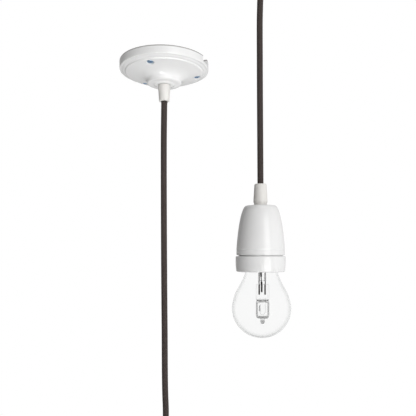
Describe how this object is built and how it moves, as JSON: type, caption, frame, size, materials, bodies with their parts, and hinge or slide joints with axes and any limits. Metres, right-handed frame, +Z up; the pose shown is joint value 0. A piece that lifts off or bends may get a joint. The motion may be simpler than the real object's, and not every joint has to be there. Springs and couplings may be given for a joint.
{
  "type": "pendant cord set",
  "caption": "Porcelain ceiling rose, round textile cord over cord hooks, and a porcelain lamp holder with a clear halogen bulb.",
  "frame": {"origin": "middle of the rose's back, in the plane that meets the ceiling", "axes": "+Z up into the ceiling, +X from the rose towards the lamp holder, -Y towards the viewer of the picture"},
  "size_m": [0.2792, 0.0806, 0.5081],
  "materials": {
    "porcelain": "white glaze",
    "grip_plastic": "matt ivory",
    "blue_zinc": "blue zinc plate",
    "zinc_steel": "zinc plate",
    "brass": "bright",
    "bare_ceramic": "unglazed",
    "cap_metal": "drawn",
    "cap_glass": "black glass",
    "solder": "dull",
    "clear_glass": "clear",
    "quartz": "clear",
    "lamp_wire": "oxidised",
    "textile_cord": "braided",
    "brown_core": "smooth",
    "blue_core": "smooth",
    "hook_paint": "white"
  },
  "bodies": {
    "root": {"rose_body": "porcelain", "rose_screw_1": "blue_zinc", "rose_screw_2": "blue_zinc", "rose_screw_3": "blue_zinc", "rose_bracket": "zinc_steel", "rose_cord_grip": "grip_plastic", "rose_grip_nut": "grip_plastic", "rose_cord_end": "textile_cord", "rose_terminal_block": "bare_ceramic", "rose_terminal_live": "brass", "rose_terminal_neutral": "brass", "rose_clamp_screw_live": "zinc_steel", "rose_clamp_screw_neutral": "zinc_steel", "rose_core_live": "brown_core", "rose_core_neutral": "blue_core", "holder_cord_grip": "grip_plastic", "holder_grip_nut": "grip_plastic", "holder_cord_end": "textile_cord", "holder_body": "porcelain", "holder_ring": "porcelain", "holder_insert": "bare_ceramic", "holder_screw_shell": "brass", "holder_centre_contact": "brass", "holder_terminal_live": "brass", "holder_terminal_neutral": "brass", "holder_rivet_live": "brass", "holder_rivet_neutral": "brass", "holder_clamp_screw_live": "zinc_steel", "holder_clamp_screw_neutral": "zinc_steel", "holder_core_live": "brown_core", "holder_core_neutral": "blue_core", "bulb_glass": "clear_glass", "bulb_cap": "cap_metal", "bulb_insulator": "cap_glass", "bulb_contact": "solder", "bulb_stem": "clear_glass", "bulb_lead_1": "lamp_wire", "bulb_lead_2": "lamp_wire", "bulb_support_wire": "lamp_wire", "capsule_glass": "quartz", "capsule_filament": "lamp_wire", "cord": "textile_cord", "cord_hook_1": "hook_paint", "cord_hook_2": "hook_paint"}
  },
  "joints": []
}
